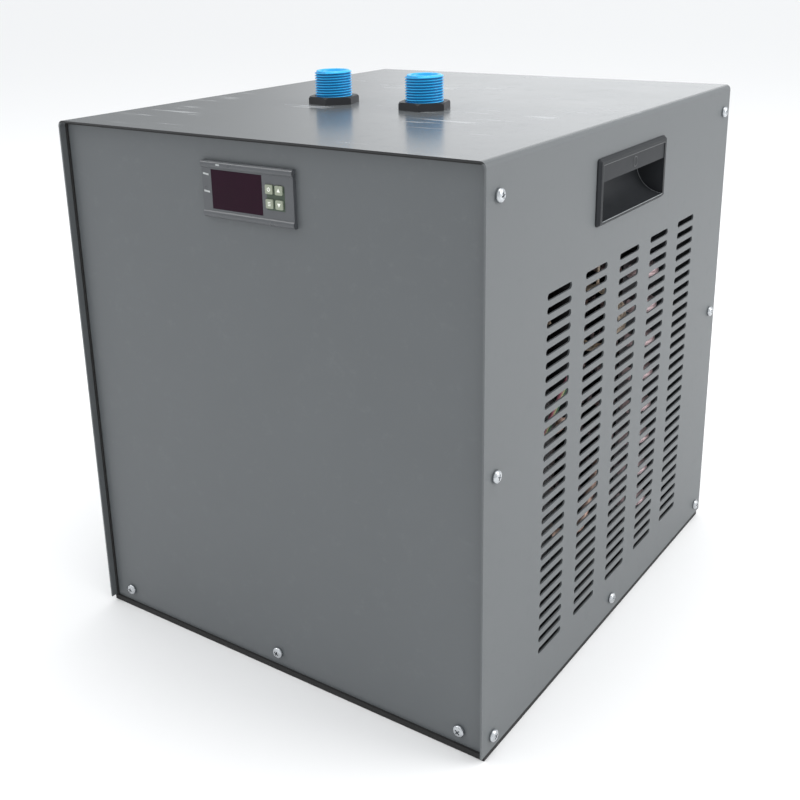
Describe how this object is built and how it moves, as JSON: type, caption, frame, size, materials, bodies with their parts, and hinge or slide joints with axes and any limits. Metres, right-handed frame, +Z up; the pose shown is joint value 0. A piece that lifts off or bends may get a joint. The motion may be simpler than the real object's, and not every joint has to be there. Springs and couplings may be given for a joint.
{
  "type": "aquarium chiller",
  "caption": "Grey sheet metal aquarium chiller with slotted side wall, recessed handles, threaded water connectors on top and a digital controller.",
  "frame": {"origin": "on the floor under the middle of the cabinet", "axes": "+Z up, the controller's panel faces -Y, the slotted wall faces +X"},
  "size_m": [0.336, 0.38, 0.3943],
  "materials": {
    "cover_paint": "satin powder coat, mid grey",
    "panel_paint": "satin powder coat, mid grey",
    "tray_paint": "black powder coat",
    "foot_rubber": "matt black rubber",
    "zinc_screws": "bright zinc plate",
    "handle_plastic": "fine grained charcoal plastic",
    "blue_plastic": "bright azure moulding",
    "nut_plastic": "black nylon",
    "gasket_rubber": "black rubber",
    "barrel_plastic": "black moulding",
    "foam_sleeve": "closed cell foam",
    "galvanised_sheet": "zinc coated sheet",
    "compressor_enamel": "black enamel",
    "terminal_plastic": "black moulding",
    "copper_tube": "drawn copper",
    "fin_aluminium": "bright thin sheet",
    "fan_plastic": "black moulding",
    "shaft_steel": "ground steel",
    "motor_enamel": "black enamel",
    "bushing_nylon": "black nylon",
    "controller_plastic": "fine textured black",
    "display_lens": "dark red tinted lens",
    "button_plastic": "pale grey green keys",
    "circuit_board": "green laminate",
    "titanium_tube": "bare titanium tube",
    "clip_plastic": "orange moulding"
  },
  "bodies": {
    "root": {"cabinet_cover": "cover_paint", "front_panel": "panel_paint", "rear_panel": "panel_paint", "base_tray": "tray_paint", "rubber_feet": "foot_rubber", "cabinet_screws": "zinc_screws", "right_handle": "handle_plastic", "left_handle": "handle_plastic", "outlet_connector": "blue_plastic", "outlet_lock_nut": "nut_plastic", "inlet_connector": "blue_plastic", "inlet_lock_nut": "nut_plastic", "connector_gaskets": "gasket_rubber", "evaporator_barrel": "barrel_plastic", "barrel_lid": "barrel_plastic", "barrel_insulation": "foam_sleeve", "barrel_stand": "galvanised_sheet", "lid_screws": "zinc_screws", "evaporator_coil": "titanium_tube", "temperature_probe": "shaft_steel", "discharge_tube": "copper_tube", "suction_tube": "copper_tube", "liquid_tube": "copper_tube", "process_tube": "copper_tube", "filter_drier": "copper_tube", "capillary_tube": "copper_tube", "compressor": "compressor_enamel", "compressor_grommets": "foot_rubber", "compressor_bolts": "zinc_screws", "compressor_terminal_box": "terminal_plastic", "condenser_coil": "copper_tube", "condenser_fins": "fin_aluminium", "condenser_end_plates": "galvanised_sheet", "fan_shroud": "galvanised_sheet", "fan_motor": "motor_enamel", "motor_bracket": "galvanised_sheet", "cord_bushing": "bushing_nylon", "controller_housing": "controller_plastic", "display_window": "display_lens", "controller_board": "circuit_board", "controller_back": "controller_plastic", "controller_terminals": "terminal_plastic", "controller_clips": "clip_plastic"},
    "power_button": {"power_button": "button_plastic"},
    "up_button": {"up_button": "button_plastic"},
    "set_button": {"set_button": "button_plastic"},
    "down_button": {"down_button": "button_plastic"},
    "fan_rotor": {"fan_impeller": "fan_plastic", "fan_shaft": "shaft_steel"}
  },
  "joints": [
    {"name": "power_press", "type": "slide", "parent": "root", "child": "power_button", "axis": [0, 1, 0], "range_m": [0, 0.0004], "stiffness_N_per_m": 1500},
    {"name": "up_press", "type": "slide", "parent": "root", "child": "up_button", "axis": [0, 1, 0], "range_m": [0, 0.0004], "stiffness_N_per_m": 1500},
    {"name": "set_press", "type": "slide", "parent": "root", "child": "set_button", "axis": [0, 1, 0], "range_m": [0, 0.0004], "stiffness_N_per_m": 1500},
    {"name": "down_press", "type": "slide", "parent": "root", "child": "down_button", "axis": [0, 1, 0], "range_m": [0, 0.0004], "stiffness_N_per_m": 1500},
    {"name": "fan_spin", "type": "hinge", "parent": "root", "child": "fan_rotor", "pos_m": [0.00743, 0.111, 0.1571], "axis": [0, 1, 0], "continuous": true}
  ]
}
